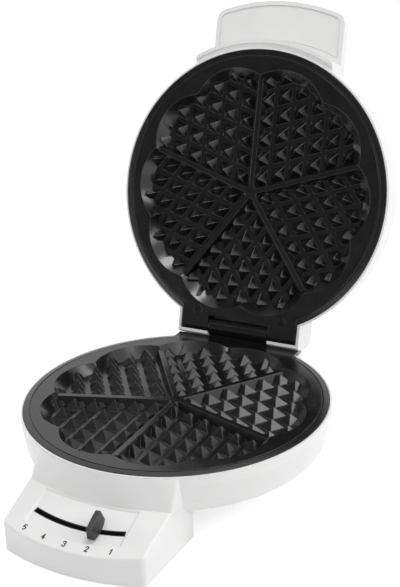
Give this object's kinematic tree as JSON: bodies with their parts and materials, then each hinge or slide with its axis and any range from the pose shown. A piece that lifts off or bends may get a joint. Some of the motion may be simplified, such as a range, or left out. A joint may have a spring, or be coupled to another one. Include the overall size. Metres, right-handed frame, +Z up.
{
  "type": "waffle maker",
  "caption": "Heart waffle maker with hinged round plates, a lid handle, a sloping front block and a sliding heat control.",
  "frame": {"origin": "on the table under the middle of the open waffle maker's bounding box", "axes": "+Z up, -Y the front with the control block and the handle, +X to the right seen from the front"},
  "size_m": [0.209, 0.3414, 0.2861],
  "materials": {
    "white_plastic": "smooth satin",
    "dark_knob": "satin",
    "black_plastic": "matt",
    "coated_plate": "black non-stick coating, glossy",
    "steel": "zinc-plated",
    "bright_steel": "polished",
    "element_steel": "heat-dulled",
    "rubber": "matt",
    "thermostat_body": "dull",
    "terminal_plastic": "matt",
    "red_lens": "clear red",
    "green_lens": "clear green",
    "lamp_glass": "clear",
    "rivet_screws": "bright"
  },
  "bodies": {
    "base": {"base_shell": "white_plastic", "block_cover": "white_plastic", "block_cover_screws": "steel", "front_feet": "rubber", "rear_feet": "rubber", "lower_plate": "coated_plate", "lower_plate_screws": "steel", "lower_element": "element_steel", "lower_element_clamps": "steel", "lower_element_screws": "steel", "lower_reflector": "steel", "thermostat": "thermostat_body", "thermostat_bracket": "steel", "thermostat_bracket_screws": "steel", "thermal_fuse": "bright_steel", "fuse_clip": "steel", "terminal_block": "terminal_plastic", "slot_liner": "black_plastic", "cord_gland": "rubber", "cord_clamp": "terminal_plastic", "cord_clamp_screws": "steel", "hinge_pin": "bright_steel", "pin_rings": "steel", "scale_numbers": "black_plastic"},
    "slider": {"spindle": "steel", "lever": "steel", "lever_nut": "steel", "slider_knob": "dark_knob"},
    "lid": {"lid_shell": "white_plastic", "handle_tray": "white_plastic", "handle_screws": "steel", "upper_plate": "coated_plate", "upper_plate_screws": "rivet_screws", "upper_element": "element_steel", "upper_element_clamps": "steel", "upper_element_screws": "steel", "upper_reflector": "steel", "upper_reflector_screws": "steel", "red_lens": "red_lens", "green_lens": "green_lens", "pilot_lamps": "lamp_glass", "lens_rings": "steel"}
  },
  "joints": [
    {"name": "lid_hinge", "type": "hinge", "parent": "base", "child": "lid", "pos_m": [0, 0.07685, 0.0569], "axis": [1, 0, 0], "range_deg": [0, 105.9]},
    {"name": "heat_slider", "type": "hinge", "parent": "base", "child": "slider", "pos_m": [0, -0.02615, 0.024], "axis": [0, 0, 1], "range_deg": [-18.75, 6.25]}
  ]
}
